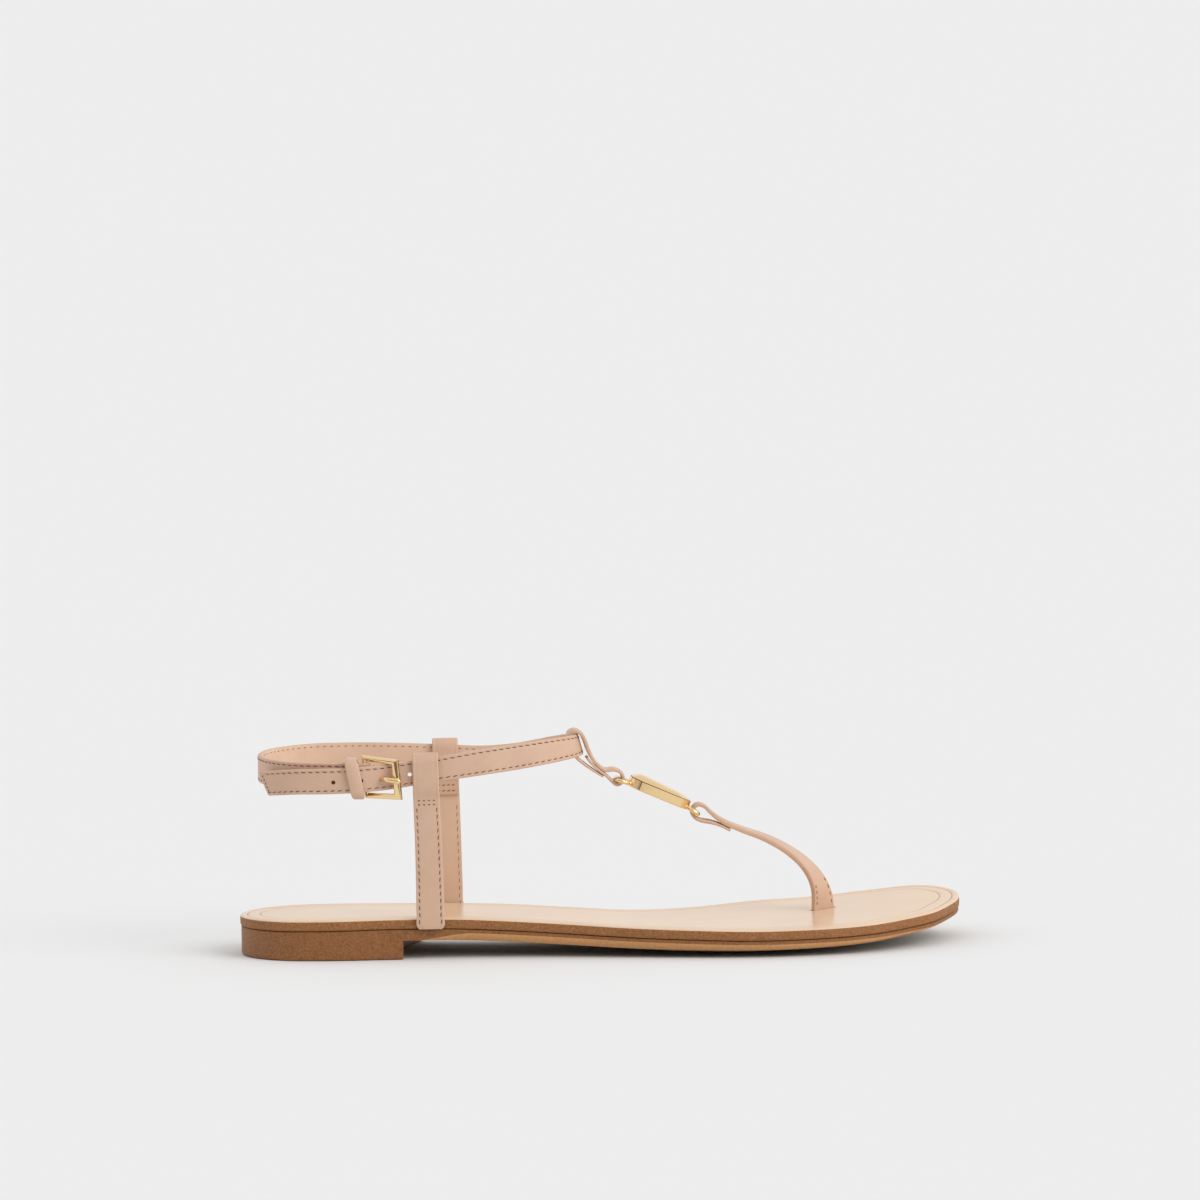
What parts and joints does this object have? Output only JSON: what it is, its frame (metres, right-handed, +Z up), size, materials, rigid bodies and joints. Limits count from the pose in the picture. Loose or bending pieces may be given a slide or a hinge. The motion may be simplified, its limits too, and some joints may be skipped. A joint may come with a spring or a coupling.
{
  "type": "t strap sandal",
  "caption": "Flat open T strap sandal with thong between the toes, ankle strap with side buckle, two side posts and a gold link plate on the instep.",
  "frame": {"origin": "the middle of the bounding box on the ground, z = 0 where the sole stands", "axes": "+X from the heel to the toe, +Y to the medial side (the inner side of the foot), +Z up"},
  "size_m": [0.2512, 0.085, 0.0767],
  "materials": {
    "strap_leather": "satin dusty pink beige leather with stitched edges",
    "insole_leather": "smooth satin cream insole with two pressed lines near its edge",
    "sole_rubber": "matte brown moulded rubber, lighter on its rounded lower edge",
    "gold_metal": "polished pale gold plated metal"
  },
  "bodies": {
    "root": {"insole": "insole_leather", "outsole": "sole_rubber", "lateral_post": "strap_leather", "medial_post": "strap_leather", "ankle_strap": "strap_leather", "keeper_loop": "strap_leather", "instep_strap": "strap_leather", "toe_thong": "strap_leather", "buckle_frame": "gold_metal", "buckle_prong": "gold_metal", "ornament": "gold_metal"}
  },
  "joints": []
}
